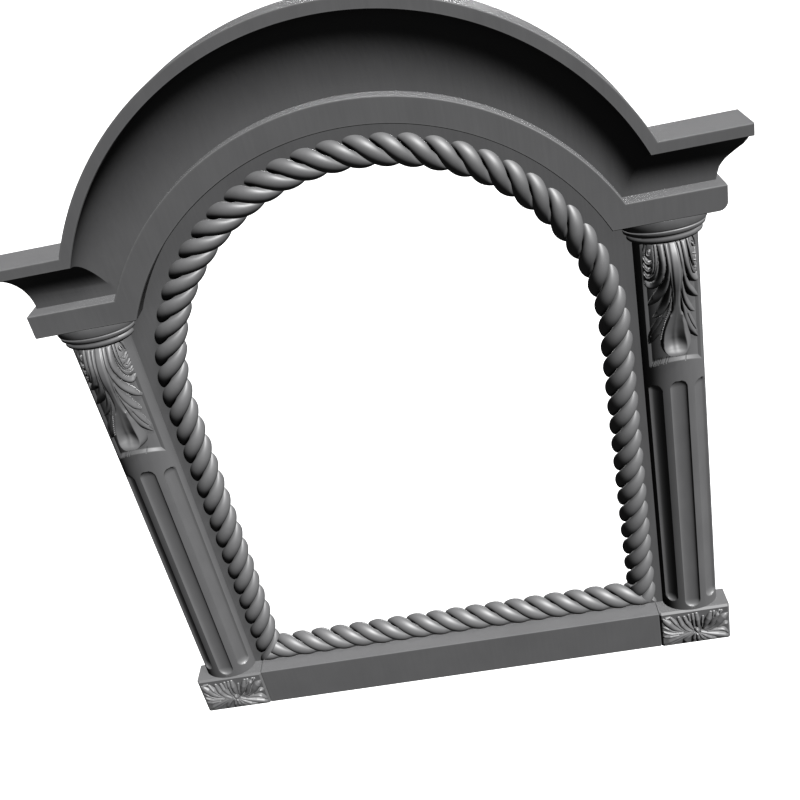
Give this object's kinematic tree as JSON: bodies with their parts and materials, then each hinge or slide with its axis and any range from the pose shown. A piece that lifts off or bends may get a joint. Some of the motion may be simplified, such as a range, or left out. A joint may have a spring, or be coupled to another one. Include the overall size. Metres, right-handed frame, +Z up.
{
  "type": "carved icon frame",
  "caption": "Arched carved frame with fluted half columns, acanthus leaves, rosette blocks, a cove cornice and a rope moulding round an open centre.",
  "frame": {"origin": "middle of the cornice's flat back above the opening, where the frame is hung", "axes": "+Z up, +X to the right as seen from the front, the front faces -Y and the flat back lies in the plane Y = 0"},
  "size_m": [0.5, 0.0344, 0.5537],
  "materials": {
    "flat_paint": "dark grey satin paint on planed wood",
    "carved_paint": "dark grey satin paint on carved wood, rubbed lighter on the crests"
  },
  "bodies": {
    "root": {"ground_board": "flat_paint", "cornice": "flat_paint", "base_rail": "flat_paint", "block_left": "carved_paint", "block_right": "carved_paint", "column_left": "carved_paint", "column_right": "carved_paint", "rope_arch": "carved_paint", "rope_bottom": "carved_paint"}
  },
  "joints": []
}
